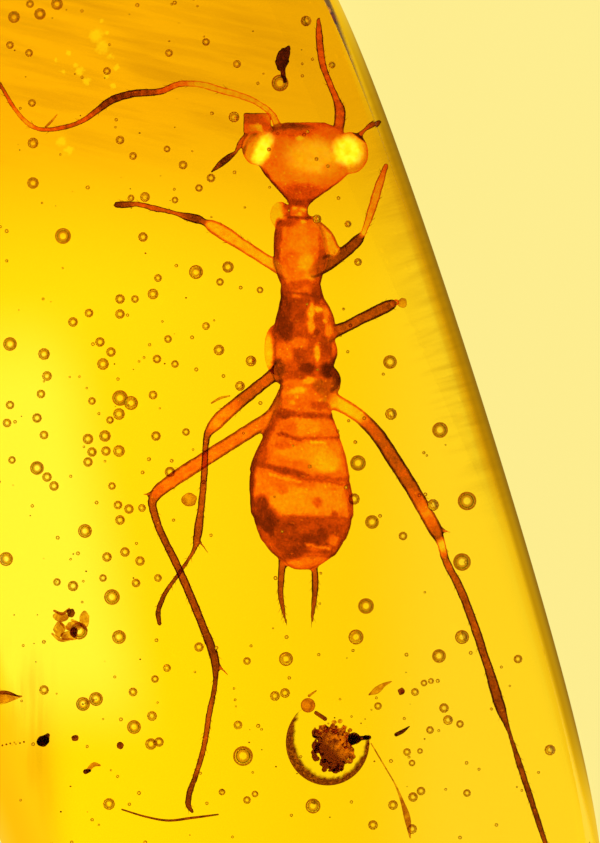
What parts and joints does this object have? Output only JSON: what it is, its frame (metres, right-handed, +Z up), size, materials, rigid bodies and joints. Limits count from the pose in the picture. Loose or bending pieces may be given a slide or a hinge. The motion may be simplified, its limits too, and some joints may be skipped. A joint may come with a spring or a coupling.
{
  "type": "insect in amber",
  "caption": "Ground and polished slab of clear amber with a small wingless insect and bits of debris sealed inside.",
  "frame": {"origin": "centre of the slab's bounding box, on the surface it lies on", "axes": "+Z up through the slab's thickness, +Y along its length towards the insect's head"},
  "size_m": [0.006, 0.0126, 0.0033],
  "materials": {
    "amber": "polished honey-yellow amber, see-through",
    "cuticle": "orange-red translucent cuticle with dark brown edges",
    "dirt": "matt dark brown bits of bark, frass and fibre"
  },
  "bodies": {
    "root": {"amber_lower": "amber", "amber_upper": "amber", "insect": "cuticle", "dark_fragment": "dirt", "debris_clot": "dirt", "hair_fibre": "dirt"}
  },
  "joints": []
}
